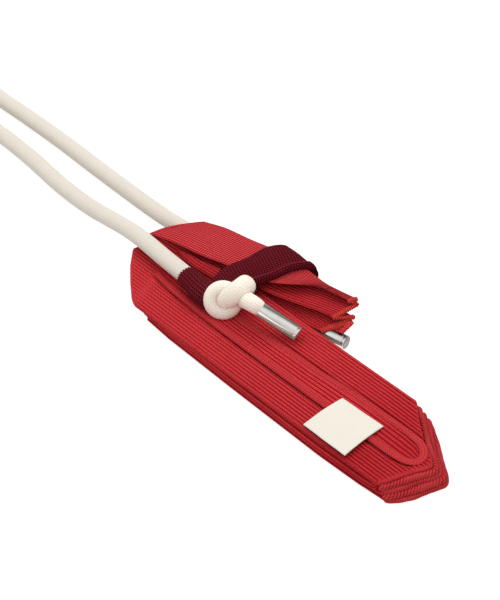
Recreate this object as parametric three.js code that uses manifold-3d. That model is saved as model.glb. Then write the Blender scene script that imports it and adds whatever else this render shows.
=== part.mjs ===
// A pleated knit drawstring pouch, pressed flat into a narrow strip.
// The mouth end is folded back over the strip. A dark knit band holds it, and holds
// both ends of the strap in a sleeve. Each strap end has a knot and a metal tip.
// Millimetres, +Z up. X runs along the strip to the bottom of the pouch.

import * as THREE from 'three';
import { mergeVertices } from 'three/addons/utils/BufferGeometryUtils.js';
import Module from 'manifold-3d';

const wasm = await Module();
wasm.setup();

// Driving dimensions: general clearances
const clearance = 0.3;
const floorGap = 0.3;

// Driving dimensions: the pleated strip
const stripWidth = 60;
const layerCount = 4;
const layerThickness = 2.2;
const layerGap = 0.4;
const ridgeRise = 1.2;
const panelRise = 0.6;
const ridgeHalfWidth = 2.4;
const nearRidgeY = -8.6;
const farRidgeY = 6.8;

// Driving dimensions: the pointed bottom end of the top layer, how far its two corners are
// set back from the point, and how much further each lower layer reaches
const bottomTip = { x: 137, y: 3 };
const bottomSetback = { near: 6, far: 33 };
const bottomStep = { near: 3, tip: 4.2, far: 6 };

// Driving dimensions: the fold, its crease ends given as X and distance out from the far edge
const foldStartX = -62;
const foldSqueeze = 0.6;
const foldGap = 0.5;
const foldFlatness = 0.45;
const foldLift = 4;
const foldNear = { x: -93.2, out: -24 };
const foldFar = { x: -76, out: 10.5 };

// Driving dimensions: the flap's near and far edges from the fold to the mouth, each as X,
// distance out from the strip's far edge, and height of the top face against the neck's top
const neckHeight = 9.6;
const mouthHeight = 12.8;
const flapRise = { near: [-65, -16.1, -1.9], far: [-52, 16, 0.6], thinner: 1.6 };
const flapNeckStart = { near: [-40, -10.5, 0], far: [-33, 19.5, 3.6] };
const flapNeckEnd = { near: [-12, -5.5, 0], far: [-5, 23, 4.2] };
const flapMouth = { near: [31.5, 0.8, 0], far: [35, 25.5, 2] };

// Driving dimensions: the dark band
const bandWidth = 21;
const bandThickness = 1.4;
const bandStartX = -52.6;
const bandSlant = 0.36;
const bandCorner = 2;

// Driving dimensions: strap, knots and tips
const cordWidth = 10;
const cordThickness = 7;
const cordSteps = 46;
const knotRingRadius = 6.6;
const knotTubeRadius = 4.4;
const knotSetback = 1.1;
const strandDip = 1;
const tipDiameter = 8;
const tipLength = 28;
const tipWall = 0.6;
const tipChamfer = 0.5;
const tipInsertion = 9;
const tailRun = 5;

// Driving dimensions: the sewn label, and how far in it lies from the strip's near edge and tip
const labelSize = 30;
const labelThickness = 0.6;
const labelFromEdge = 1.8;
const labelFromTip = 32;

// Places that follow from the sizes above
const layerPitch = layerThickness + layerGap;
const stackHeight = layerCount * layerPitch - layerGap;
const stripTop = stackHeight + ridgeRise;
const foldHeight = foldSqueeze * stackHeight;
const halfWidth = stripWidth / 2;
const neckSeat = stackHeight + bandThickness + 3 * clearance;
const neckTop = neckSeat + neckHeight;
const tipSeat = floorGap + tipDiameter / 2;
const mouthTop = tipSeat + tipDiameter / 2 + 2 * clearance + mouthHeight;
const nearCord = {
  y: 0.5,
  z: stripTop + bandThickness + 2 * clearance + cordThickness / 2,
};
const farCord = {
  y: halfWidth + bandThickness + 2 * clearance + cordWidth / 2,
  z: floorGap + bandThickness + clearance + cordThickness / 2,
};

// Route of the strap, from the near knot out to the bight and back to the far knot.
// It leaves the near sleeve level, drops off the fold to the floor, and comes back along it.
const bandEndX = (y) => bandStartX + bandWidth + y * bandSlant;
const nearCordEndX = bandEndX(nearCord.y);
const farCordEndX = bandEndX(farCord.y);
const cordRest = cordThickness / 2 + floorGap;
const strapRoute = [
  [nearCordEndX, nearCord.y, nearCord.z],
  [-44, nearCord.y, nearCord.z],
  [-56, 1.2, nearCord.z + 0.2],
  [-74, 3.4, nearCord.z + 0.5],
  [-93, 6, nearCord.z + 0.9],
  [-110, 8.3, nearCord.z - 2.3],
  [-127, 10.2, cordRest + 5.4],
  [-144, 11.4, cordRest + 1.4],
  [-161, 12, cordRest],
  [-180, 12.8, cordRest],
  [-214, 16.4, cordRest],
  [-247, 18, cordRest],
  [-285, 17, cordRest],
  [-325, 13, cordRest],
  [-362, 8, cordRest],
  [-396, 6, cordRest],
  [-424, 13, cordRest],
  [-437, 31, cordRest],
  [-426, 49, cordRest],
  [-398, 57, cordRest],
  [-362, 54, cordRest],
  [-322, 47, cordRest],
  [-280, farCord.y + 5, cordRest],
  [-255, farCord.y + 5.1, cordRest],
  [-214, farCord.y + 4.7, cordRest],
  [-169, farCord.y + 2.8, cordRest],
  [-112, farCord.y + 1.6, cordRest],
  [-78, farCord.y + 3.5, cordRest],
  [-58, farCord.y + 1.6, cordRest + 1],
  [-44, farCord.y, farCord.z],
  [farCordEndX, farCord.y, farCord.z],
];

// Where the knots sit, and how the tips lie from them
const knotReach = knotRingRadius + knotTubeRadius + knotSetback;
const tipSpread = knotReach + tailRun;
const nearKnotTilt = 0.5;
const nearKnotRise = knotTubeRadius + knotRingRadius * Math.sin(nearKnotTilt);
const nearKnotY = 2.6;
const nearKnot = {
  centre: new THREE.Vector3(
    bandEndX(nearKnotY) + knotReach,
    nearKnotY,
    stripTop + clearance + nearKnotRise,
  ),
  tilt: nearKnotTilt,
  turn: 0.81,
  squash: 1,
  inlet: new THREE.Vector3(nearCordEndX + clearance, nearCord.y, nearCord.z),
  tipStart: new THREE.Vector3(
    bandEndX(nearKnotY) + knotReach + tipSpread,
    nearKnotY + 10,
    stripTop + tipDiameter / 2 + 4.4,
  ),
  tipAxis: new THREE.Vector3(1, 0.12, -0.125).normalize(),
};
const farKnotSquash = 0.82;
const farKnotY = halfWidth + clearance + knotRingRadius + knotTubeRadius;
const farKnot = {
  centre: new THREE.Vector3(
    bandEndX(farKnotY) + knotReach,
    farKnotY,
    floorGap + Math.max((knotTubeRadius + strandDip) * farKnotSquash, tipDiameter / 2),
  ),
  tilt: 0,
  turn: 0.3,
  squash: farKnotSquash,
  inlet: new THREE.Vector3(farCordEndX + clearance, farCord.y, farCord.z),
  tipStart: new THREE.Vector3(
    bandEndX(farKnotY) + knotReach + tipSpread + 3.5,
    halfWidth + tipDiameter / 2 + 3 * clearance,
    tipSeat,
  ),
  tipAxis: new THREE.Vector3(1, 0.135, 0).normalize(),
};

const finish = {
  red: new THREE.MeshStandardMaterial({ color: 0xc0333a, roughness: 0.85, metalness: 0 }),
  burgundy: new THREE.MeshStandardMaterial({ color: 0x5e1722, roughness: 0.85, metalness: 0 }),
  cream: new THREE.MeshStandardMaterial({ color: 0xece5d6, roughness: 0.8, metalness: 0 }),
  metal: new THREE.MeshStandardMaterial({ color: 0xd6d4cf, roughness: 0.22, metalness: 1 }),
  label: new THREE.MeshStandardMaterial({ color: 0xf5efe2, roughness: 0.7, metalness: 0 }),
};

// Helpers for closed solids

function toSolid(geometry) {
  const plain = geometry.clone();
  plain.deleteAttribute('normal');
  plain.deleteAttribute('uv');
  const merged = mergeVertices(plain, 1e-4);
  return new wasm.Manifold(new wasm.Mesh({
    numProp: 3,
    vertProperties: new Float32Array(merged.attributes.position.array),
    triVerts: new Uint32Array(merged.index.array),
  }));
}

function toGeometry(solid) {
  const mesh = solid.getMesh();
  const geometry = new THREE.BufferGeometry();
  geometry.setAttribute('position', new THREE.BufferAttribute(mesh.vertProperties, 3));
  geometry.setIndex(new THREE.BufferAttribute(mesh.triVerts, 1));
  geometry.computeVertexNormals();
  return geometry;
}

function named(name, geometry, material) {
  const mesh = new THREE.Mesh(geometry, material);
  mesh.name = name;
  return mesh;
}

function arc(centreX, centreY, radius, fromDegrees, toDegrees, steps) {
  const points = [];
  for (let i = 0; i <= steps; i += 1) {
    const angle = THREE.MathUtils.degToRad(fromDegrees + (toDegrees - fromDegrees) * i / steps);
    points.push([centreX + radius * Math.cos(angle), centreY + radius * Math.sin(angle)]);
  }
  return points;
}

// A closed skin over rings of points that all follow the same flat section
function loft(rings, section) {
  const count = section.length;
  const positions = rings.flat().flatMap((point) => point.toArray());
  const faces = [];
  for (let r = 0; r + 1 < rings.length; r += 1) {
    for (let i = 0; i < count; i += 1) {
      const j = (i + 1) % count;
      const a = r * count + i;
      const b = r * count + j;
      faces.push(a, a + count, b, b, a + count, b + count);
    }
  }
  const cap = THREE.ShapeUtils.triangulateShape(section.map((p) => new THREE.Vector2(...p)), []);
  const last = (rings.length - 1) * count;
  for (const [a, b, c] of cap) {
    faces.push(a, b, c, last + a, last + c, last + b);
  }
  const geometry = new THREE.BufferGeometry();
  geometry.setAttribute('position', new THREE.Float32BufferAttribute(positions, 3));
  geometry.setIndex(faces);
  return geometry;
}

function outlineShape(points) {
  return new THREE.Shape(points.map(([x, y]) => new THREE.Vector2(x, y)));
}

// The pouch: a doubled knit sheet laid to and fro in layers

function pleatSection() {
  const outer = layerThickness + layerGap / 2;
  const inner = layerGap / 2;
  const halfLayer = layerThickness / 2;
  const right = [];
  const left = [];
  for (let k = 0; k + 1 < layerCount; k += 1) {
    const foldsFar = k % 2 === 0;
    const centreY = foldsFar ? halfWidth - outer : outer - halfWidth;
    const centreZ = (k + 1) * layerPitch - layerGap / 2;
    const start = foldsFar ? -90 : 270;
    right.push(...arc(centreY, centreZ, foldsFar ? outer : inner, start, 90, foldsFar ? 6 : 3));
    left.push(...arc(centreY, centreZ, foldsFar ? inner : outer, start, 90, foldsFar ? 3 : 6));
  }
  const topCap = arc(halfLayer - halfWidth, stackHeight - halfLayer, halfLayer, 90, 270, 5);
  const startCap = arc(halfLayer - halfWidth, halfLayer, halfLayer, 90, 270, 5);
  const plain = [...right, ...topCap, ...left.reverse(), ...startCap];
  return plain.map(([y, z]) => ({ y, z, crest: 0 })).toSpliced(right.length, 0, ...ridgeRow());
}

// The raised centre panel on the top layer, between two rounded ridges
function ridgeRow() {
  const row = [
    [farRidgeY + ridgeHalfWidth, 0],
    [farRidgeY, ridgeRise],
    [farRidgeY - ridgeHalfWidth, panelRise],
    [nearRidgeY + ridgeHalfWidth, panelRise],
    [nearRidgeY, ridgeRise],
    [nearRidgeY - ridgeHalfWidth, 0],
  ];
  return row.map(([y, crest]) => ({ y, z: stackHeight, crest }));
}

function stationRing(station, section) {
  return section.map(({ y, z, crest }) => {
    const across = (y + halfWidth) / stripWidth;
    const height = z * station.rise + crest * station.crest;
    return station.near.clone().lerp(station.far, across).addScaledVector(station.up, height);
  });
}

function stripStation(x) {
  return {
    near: new THREE.Vector3(x, -halfWidth, 0),
    far: new THREE.Vector3(x, halfWidth, 0),
    up: new THREE.Vector3(0, 0, 1),
    rise: 1,
    crest: 1,
  };
}

// The stack turns over a slanted crease, its far edge swinging out as it comes round
function foldStations(steps) {
  const radius = foldHeight + foldGap;
  const crease = new THREE.Vector2(foldFar.x - foldNear.x, foldFar.out - foldNear.out).normalize();
  const stations = [];
  for (let i = 0; i <= steps; i += 1) {
    const angle = Math.PI * i / steps;
    const turned = (1 - Math.cos(angle)) / 2;
    const reach = foldFlatness * Math.sin(angle);
    const outward = new THREE.Vector3(-crease.y * reach, crease.x * reach, -Math.cos(angle));
    const near = new THREE.Vector3(foldNear.x, halfWidth + foldNear.out, radius);
    const swung = foldFar.out * turned;
    const far = new THREE.Vector3(foldFar.x, halfWidth + swung, radius + foldLift * turned);
    stations.push({
      near: near.addScaledVector(outward, radius),
      far: far.addScaledVector(outward, radius),
      up: outward.clone().negate(),
      rise: foldSqueeze,
      crest: 0,
    });
  }
  return stations;
}

// Edges of the flap's top face, from the fold to the mouth, with the stack's height there
function flapRow(plan, top, height) {
  const place = ([x, out, above]) => new THREE.Vector3(x, halfWidth + out, top + above);
  return { near: place(plan.near), far: place(plan.far), height };
}

function flapRows() {
  return [
    flapRow(flapRise, neckTop, neckHeight - flapRise.thinner),
    flapRow(flapNeckStart, neckTop, neckHeight),
    flapRow(flapNeckEnd, neckTop, neckHeight),
    flapRow(flapMouth, mouthTop, mouthHeight),
  ];
}

function flapStations() {
  return flapRows().map(({ near, far, height }) => ({
    near,
    far,
    up: new THREE.Vector3(0, 0, -1),
    rise: height / stackHeight,
    crest: 0,
  }));
}

// What is cut off one layer to leave its pointed bottom end
function bottomCutter(layer) {
  const below = layerCount - 1 - layer;
  const nearX = bottomTip.x - bottomSetback.near + below * bottomStep.near;
  const tipX = bottomTip.x + below * bottomStep.tip;
  const farX = bottomTip.x - bottomSetback.far + below * bottomStep.far;
  const side = stripWidth;
  const beyond = tipX + stripWidth;
  const cut = outlineShape([
    [nearX, -halfWidth],
    [tipX, bottomTip.y],
    [farX, halfWidth],
    [farX, side],
    [beyond, side],
    [beyond, -side],
    [nearX, -side],
  ]);
  const isTop = layer === layerCount - 1;
  const isBottom = layer === 0;
  const spare = layerPitch;
  const low = isBottom ? -spare : layer * layerPitch - layerGap / 2;
  const high = isTop ? stripTop + spare : (layer + 1) * layerPitch - layerGap / 2;
  const geometry = new THREE.ExtrudeGeometry(cut, { depth: high - low, bevelEnabled: false });
  return geometry.translate(0, 0, low);
}

function pouchBody() {
  const section = pleatSection();
  const longest = bottomTip.x + layerCount * bottomStep.tip + 1;
  const stations = [
    stripStation(longest),
    stripStation(foldStartX),
    ...foldStations(8),
    ...flapStations(),
  ];
  const rings = stations.map((station) => stationRing(station, section));
  let solid = toSolid(loft(rings, section.map(({ y, z, crest }) => [y, z + crest])));
  for (let layer = 0; layer < layerCount; layer += 1) {
    solid = solid.subtract(toSolid(bottomCutter(layer)));
  }
  return named('pouch_body', toGeometry(solid), finish.red);
}

// The dark band: one knit ring round both strap ends and the flap's neck

// The flap's edge on one side at X, between the rows of the flap
function edgeAt(side, x) {
  const rows = flapRows();
  const next = rows.findIndex((row, i) => i > 0 && (x <= row[side].x || i + 1 === rows.length));
  const from = rows[next - 1];
  const to = rows[next];
  const part = (x - from[side].x) / (to[side].x - from[side].x);
  const { y, z } = from[side].clone().lerp(to[side], part);
  return { y, top: z, bottom: z - THREE.MathUtils.lerp(from.height, to.height, part) };
}

// Where one slanted end of the band crosses an edge of the flap
function bandCrossing(side, endX) {
  let place = { y: halfWidth };
  for (let pass = 0; pass < 4; pass += 1) {
    place = edgeAt(side, endX + place.y * bandSlant);
  }
  return place;
}

function ellipseArc(cord, growth, fromDegrees, toDegrees, steps) {
  const wide = cordWidth / 2 + growth;
  const high = cordThickness / 2 + growth;
  const unit = arc(0, 0, 1, fromDegrees, toDegrees, steps);
  return unit.map(([y, z]) => [cord.y + y * wide, cord.z + z * high]);
}

// Inner line of the band, seen along X, clockwise from under the near strap end
function bandInside() {
  const near = bandCrossing('near', bandStartX);
  const farStart = bandCrossing('far', bandStartX);
  const far = bandCrossing('far', bandStartX + bandWidth);
  const farSide = far.y + 2 * clearance;
  const underNeck = stackHeight + bandThickness + clearance;
  const overRidge = nearCord.z - cordThickness / 2 - clearance;
  const dipY = (nearCord.y + cordWidth / 2 + near.y) / 2;
  return [
    ...ellipseArc(nearCord, clearance, 270, 60, 10),
    [dipY, nearCord.z],
    [near.y - clearance, near.top + clearance],
    [far.y - bandCorner, far.top + 2 * clearance],
    [farSide, far.top - bandCorner / 2],
    [farSide, farStart.bottom - clearance],
    [farStart.y - bandCorner, farStart.bottom - 2 * clearance],
    ...ellipseArc(farCord, clearance, 40, -180, 10),
    [farCord.y - cordWidth / 2 - clearance, underNeck],
    [farRidgeY + 2 * ridgeHalfWidth, underNeck],
    [farRidgeY + ridgeHalfWidth, overRidge],
  ];
}

// The same closed line moved outwards by a distance, for a clockwise line
function offsetLine(points, distance) {
  return points.map((point, i) => {
    const before = new THREE.Vector2(...points.at(i - 1));
    const here = new THREE.Vector2(...point);
    const after = new THREE.Vector2(...points[(i + 1) % points.length]);
    const into = here.clone().sub(before).normalize();
    const out = after.sub(here).normalize();
    const normal = new THREE.Vector2(-into.y - out.y, into.x + out.x).normalize();
    const stretch = 1 / Math.max(0.6, normal.dot(new THREE.Vector2(-into.y, into.x)));
    return here.addScaledVector(normal, distance * stretch).toArray();
  });
}

function neckBand() {
  const inside = bandInside();
  const shape = outlineShape(offsetLine(inside, bandThickness));
  shape.holes.push(outlineShape(inside.toReversed()));
  const geometry = new THREE.ExtrudeGeometry(shape, { depth: bandWidth, bevelEnabled: false });
  const place = new THREE.Matrix4().set(
    bandSlant, 0, 1, bandStartX,
    1, 0, 0, 0,
    0, 1, 0, 0,
    0, 0, 0, 1,
  );
  return named('neck_band', geometry.applyMatrix4(place), finish.burgundy);
}

// The strap, its knots and its tips

function ellipseShape(across, high, sides) {
  const points = [];
  for (let i = 0; i < sides; i += 1) {
    const angle = 2 * Math.PI * i / sides;
    points.push([high * Math.cos(angle), across * Math.sin(angle)]);
  }
  return outlineShape(points);
}

function sweep(points, across, high, steps) {
  const path = new THREE.CatmullRomCurve3(points, false, 'centripetal');
  return new THREE.ExtrudeGeometry(ellipseShape(across, high, 10), {
    extrudePath: path,
    steps,
    bevelEnabled: false,
  });
}

function strapCord() {
  const points = strapRoute.map((point) => new THREE.Vector3(...point));
  const geometry = sweep(points, cordWidth / 2, cordThickness / 2, cordSteps);
  return named('strap_cord', geometry, finish.cream);
}

// An overhand knot: a ring, a strand over it, and a tail that runs into the tip
function knot(name, place) {
  const axis = place.tipAxis;
  const tailRadius = tipDiameter / 2 - tipWall - clearance;
  const turn = new THREE.Matrix4().makeRotationZ(place.turn);
  const lean = new THREE.Matrix4().makeRotationX(place.tilt);
  const size = new THREE.Matrix4().makeScale(1, 1, place.squash);
  const set = new THREE.Matrix4().setPosition(place.centre).multiply(turn).multiply(lean).multiply(size);
  const ring = new THREE.TorusGeometry(knotRingRadius, knotTubeRadius, 10, 20);
  const over = [
    new THREE.Vector3(-0.45 * knotRingRadius, -0.75 * knotRingRadius, 0.1 * knotTubeRadius),
    new THREE.Vector3(-0.15 * knotRingRadius, -0.25 * knotRingRadius, 0.95 * knotTubeRadius),
    new THREE.Vector3(0.6 * knotRingRadius, 0.45 * knotRingRadius, 1.2 * knotTubeRadius),
    new THREE.Vector3(1.35 * knotRingRadius, 0.9 * knotRingRadius, 0.7 * knotTubeRadius),
    new THREE.Vector3(1.6 * knotRingRadius, 0.75 * knotRingRadius, -strandDip),
  ];
  const strand = sweep(over, knotTubeRadius, knotTubeRadius, 8);
  const ringEdge = place.centre.clone().addScaledVector(axis, knotRingRadius);
  const alongTip = (distance) => place.tipStart.clone().addScaledVector(axis, distance);
  const tail = sweep([ringEdge, alongTip(-tailRun)], tipDiameter / 2, tipDiameter / 2, 2);
  const collar = sweep([alongTip(-tailRun - 1), alongTip(-clearance)], tipDiameter / 2, tipDiameter / 2, 2);
  const stub = sweep([alongTip(-tailRun), alongTip(tipInsertion)], tailRadius, tailRadius, 2);
  const inletEnd = new THREE.Vector3(place.centre.x, place.inlet.y, place.inlet.z);
  const inlet = sweep([place.inlet, inletEnd], cordWidth / 2, cordThickness / 2, 2);
  const solid = toSolid(ring.applyMatrix4(set))
    .add(toSolid(strand.applyMatrix4(set)))
    .add(toSolid(tail))
    .add(toSolid(collar))
    .add(toSolid(stub))
    .add(toSolid(inlet));
  return named(name, toGeometry(solid), finish.cream);
}

// A drawn metal cup pressed over the strap's end
function cordTip(name, place) {
  const outer = tipDiameter / 2;
  const bore = outer - tipWall;
  const profile = [
    [0, tipLength],
    [outer - tipChamfer, tipLength],
    [outer, tipLength - tipChamfer],
    [outer, 0],
    [bore, 0],
    [bore, tipLength - 2 * tipWall],
    [0, tipLength - 2 * tipWall],
  ];
  const points = profile.map(([radius, along]) => new THREE.Vector2(radius, along));
  const mesh = named(name, new THREE.LatheGeometry(points.reverse(), 24), finish.metal);
  mesh.quaternion.setFromUnitVectors(new THREE.Vector3(0, 1, 0), place.tipAxis);
  mesh.position.copy(place.tipStart);
  return mesh;
}

// The square label, lying across the near ridge of the centre panel
function sewnLabel() {
  const geometry = new THREE.BoxGeometry(labelSize, labelSize, labelThickness);
  const mesh = named('sewn_label', geometry, finish.label);
  const x = bottomTip.x - labelFromTip - labelSize / 2;
  const y = labelFromEdge + labelSize / 2 - halfWidth;
  mesh.position.set(x, y, stripTop + clearance + labelThickness / 2);
  return mesh;
}

// The whole pouch, centred over the footprint of its folded body

function drawstringPouch() {
  const body = [pouchBody(), neckBand(), sewnLabel()];
  const strap = [
    strapCord(),
    knot('near_knot', nearKnot),
    knot('far_knot', farKnot),
    cordTip('near_tip', nearKnot),
    cordTip('far_tip', farKnot),
  ];
  const box = new THREE.Box3();
  for (const mesh of body) {
    mesh.updateMatrixWorld();
    box.expandByObject(mesh, true);
  }
  const centre = box.getCenter(new THREE.Vector3());
  const group = new THREE.Group();
  group.add(...body, ...strap);
  group.position.set(-centre.x, -centre.y, -box.min.z);
  return group;
}

const pouch = drawstringPouch();

export default pouch;
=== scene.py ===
"""Looks for a pleated knit drawstring pouch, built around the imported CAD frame.

Lengths are written in millimetres in the layout of the folded pouch: X along the strip
to the bottom of the pouch, Y across it to the flap, Z up. place() moves them to the frame.
"""

import bpy
import numpy as np
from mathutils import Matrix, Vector


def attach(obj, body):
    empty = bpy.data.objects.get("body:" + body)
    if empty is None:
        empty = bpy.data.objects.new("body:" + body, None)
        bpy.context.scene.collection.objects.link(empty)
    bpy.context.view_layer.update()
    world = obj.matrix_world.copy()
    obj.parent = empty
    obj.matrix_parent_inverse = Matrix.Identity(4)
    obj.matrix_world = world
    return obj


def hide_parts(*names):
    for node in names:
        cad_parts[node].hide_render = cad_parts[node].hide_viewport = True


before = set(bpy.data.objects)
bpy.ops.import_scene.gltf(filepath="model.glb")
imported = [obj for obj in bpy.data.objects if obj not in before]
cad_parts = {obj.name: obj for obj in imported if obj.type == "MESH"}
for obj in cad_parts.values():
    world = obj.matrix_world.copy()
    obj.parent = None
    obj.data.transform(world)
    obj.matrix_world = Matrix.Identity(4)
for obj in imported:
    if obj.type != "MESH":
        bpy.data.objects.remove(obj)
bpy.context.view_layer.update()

MM = 0.001
LAYOUT_SHIFT = np.array([-26.982, -12.75, 0.0])


def place(points):
    """Layout millimetres to metres in the frame."""
    return (np.asarray(points, float) + LAYOUT_SHIFT) * MM


# The strip's knit: rib pitch, rib depth, the length of one stitch and how round a crest is
RIB = 2.2
RIB_DEPTH = 0.55
STITCH = 1.3
RIB_ROUND = 0.75

# Rib pitch and stitch length of the other cloth
FLAP_KNIT = (1.8, 1.6)
TURN_KNIT = (1.7, 1.25)
FACET_KNIT = (1.9, STITCH)
INNER_KNIT = (1.6, STITCH)
MOUTH_KNIT = (1.75, 1.7)
MOUTH_TOP_KNIT = (1.45, 1.35)
BAND_KNIT = (1.6, 1.7)
LABEL_THREAD = (0.5, 0.5)

# Yarns from the top of a rolled edge round to its foot
ROLL_YARNS = 4

# The strip's layers: half thickness, how far their edges round over, the middle height of
# each, bottom first, and the height of the top face
LAYER_HALF = 1.1
LAYER_NOSE = 1.1
LAYER_MIDS = [1.1, 3.7, 6.3, 8.9]
TOP_FACE = 10.0

UP = (0.0, 0.0, 1.0)

# Steps worked out for each point that a line is drawn through, and a length taken as none
FINE_STEPS = 16
NO_LENGTH = 1e-9


# Lines and sheets: a grid's first index runs along and its second across, so that
# along x across points out of the cloth

def spline(points, count):
    """Even steps along a centripetal Catmull-Rom line through the points."""
    p = np.asarray(points, float)
    span = np.sqrt(np.linalg.norm(np.diff(p, axis=0), axis=1))
    knots = np.concatenate([[0.0], np.cumsum(span)])
    slope = np.diff(p, axis=0) / span[:, None]
    tangent = np.empty_like(p)
    weight = span[:-1] + span[1:]
    tangent[1:-1] = (slope[:-1] * span[1:, None] + slope[1:] * span[:-1, None]) / weight[:, None]
    tangent[0], tangent[-1] = slope[0], slope[-1]
    fine = np.linspace(0.0, knots[-1], FINE_STEPS * len(p))
    k = np.clip(np.searchsorted(knots, fine, side="right") - 1, 0, len(p) - 2)
    h = span[k][:, None]
    s = ((fine - knots[k]) / span[k])[:, None]
    line = (2 * s**3 - 3 * s**2 + 1) * p[k] + (s**3 - 2 * s**2 + s) * h * tangent[k]
    line += (3 * s**2 - 2 * s**3) * p[k + 1] + (s**3 - s**2) * h * tangent[k + 1]
    return even(line, count)


def even(line, count):
    """The same line in equal steps."""
    along = run(line)
    wanted = np.linspace(0.0, along[-1], count)
    return np.stack([np.interp(wanted, along, line[:, i]) for i in range(line.shape[1])], 1)


def run(line):
    """Distance along a line at each of its points."""
    return np.concatenate([[0.0], np.cumsum(np.linalg.norm(np.diff(line, axis=0), axis=1))])


def sheet_from_rows(rows, across, along):
    """A smooth sheet through control rows."""
    lines = [spline(row, across) for row in rows]
    columns = [spline([line[i] for line in lines], along) for i in range(across)]
    return np.stack(columns, 1)


def grid_normals(p):
    """Unit normals of a grid of points."""
    n = np.cross(np.gradient(p, axis=0), np.gradient(p, axis=1))
    return n / np.maximum(np.linalg.norm(n, axis=2, keepdims=True), NO_LENGTH)


def arc_length(p, axis):
    """Distance run along one index of a grid, in millimetres."""
    step = np.linalg.norm(np.diff(p, axis=axis), axis=2)
    pad = [(0, 0), (0, 0)]
    pad[axis] = (1, 0)
    return np.pad(np.cumsum(step, axis=axis), pad)


def soft_step(value):
    """0 below 0, 1 above 1, with a smooth rise between."""
    t = np.clip(value, 0.0, 1.0)
    return t * t * (3 - 2 * t)


def rib_relief(phase):
    """0 on the crest of a rib and -1 in the groove between two."""
    return np.abs(np.cos(np.pi * phase)) ** RIB_ROUND - 1.0


def ribbed(p, phase, depth):
    """A grid with ribs pressed into it along its normals."""
    return p + grid_normals(p) * (depth * rib_relief(phase))[..., None]


def grid_faces(rows, cols, first):
    """Quads over a grid of points that starts at an index."""
    r, c = np.meshgrid(np.arange(rows - 1), np.arange(cols - 1), indexing="ij")
    corner = r * cols + c
    quads = np.stack([corner, corner + cols, corner + cols + 1, corner + 1], -1)
    return quads.reshape(-1, 4) + first


def add_piece(name, grids, material, replaced=(), thick=0.0):
    """One object from grids of points, each with knit coordinates and how far its ribs show."""
    points, coords, ribs, faces = [], [], [], []
    count = 0
    for p, uv, rib in grids:
        rows, cols = p.shape[:2]
        points.append(p.reshape(-1, 3))
        coords.append(uv.reshape(-1, 2))
        ribs.append(np.broadcast_to(rib, (rows, cols)).ravel())
        faces.append(grid_faces(rows, cols, count))
        count += rows * cols
    mesh = bpy.data.meshes.new(name)
    quads = np.concatenate(faces)
    mesh.from_pydata(place(np.concatenate(points)).tolist(), [], quads.tolist())
    layer = mesh.uv_layers.new(name="knit")
    layer.data.foreach_set("uv", np.concatenate(coords)[quads.ravel()].astype(np.float32).ravel())
    shown = mesh.attributes.new("rib", "FLOAT", "POINT")
    shown.data.foreach_set("value", np.concatenate(ribs).astype(np.float32))
    mesh.shade_smooth()
    mesh.materials.append(material)
    piece = bpy.data.objects.new(name, mesh)
    bpy.context.scene.collection.objects.link(piece)
    if thick:
        body = piece.modifiers.new("thickness", "SOLIDIFY")
        body.thickness = thick * MM
        body.offset = -1.0
    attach(piece, "root")
    if replaced:
        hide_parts(*replaced)
    return piece


def knit_uv(p, pitch=RIB, stitch=STITCH, shift=0.0):
    """Knit coordinates of a grid: ribs across, stitches along."""
    return np.stack([arc_length(p, 1) / pitch + shift, arc_length(p, 0) / stitch], -1)


def tube(line, wide, high, sides, up):
    """A grid round a line, with an oval section that stays level and its seam below."""
    ahead = np.gradient(line, axis=0)
    ahead /= np.linalg.norm(ahead, axis=1, keepdims=True)
    side = np.cross(np.asarray(up, float), ahead)
    side /= np.linalg.norm(side, axis=1, keepdims=True)
    top = np.cross(ahead, side)
    angle = np.linspace(-np.pi, np.pi, sides + 1)
    wide = np.broadcast_to(wide, len(line))[:, None, None]
    high = np.broadcast_to(high, len(line))[:, None, None]
    ring = np.sin(angle)[None, :, None] * side[:, None, :] * wide
    ring = ring + np.cos(angle)[None, :, None] * top[:, None, :] * high
    return line[:, None, :] + ring


def tube_uv(p, around, stitch):
    """Knit coordinates of a tube: columns round it, stitches along."""
    u = np.linspace(0.0, around, p.shape[1])
    v = run(p[:, :-1].mean(1)) / stitch
    return np.stack(np.meshgrid(u, v), -1)


def ribbed_tube(line, wide, high, around, stitch, depth, per_rib=5, up=UP):
    """A tube with columns of stitches along it."""
    p = tube(line, wide, high, around * per_rib, up)
    uv = tube_uv(p, around, stitch)
    return ribbed(p, uv[..., 0], depth), uv, 1.0


def corded(line, wide, high, pitch, slant, depth, sides, chevron=False, up=UP):
    """A rolled edge with stitches that slant across it, or from both sides up to its top line."""
    p = tube(line, wide, high, sides, up)
    angle = np.linspace(-1.0, 1.0, sides + 1)
    phase = run(line)[:, None] / pitch + slant * (np.abs(angle) if chevron else angle)[None, :]
    uv = np.stack([phase, np.broadcast_to(angle * ROLL_YARNS, phase.shape)], -1)
    return ribbed(p, phase, depth), uv, 1.0


# Materials

# Noise: scale and detail of single yarns, and of broad patches with their strength
YARN_NOISE = (1100.0, 3.0)
PATCH_NOISE = (70.0, 2.0, 0.3)

# Cloth as polished metal shows it, and the roughness and shine of knit
SEEN_IN_METAL = (0.42, 0.33, 0.30, 1.0)
KNIT_ROUGHNESS = 0.9
KNIT_SHINE = 0.04


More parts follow.
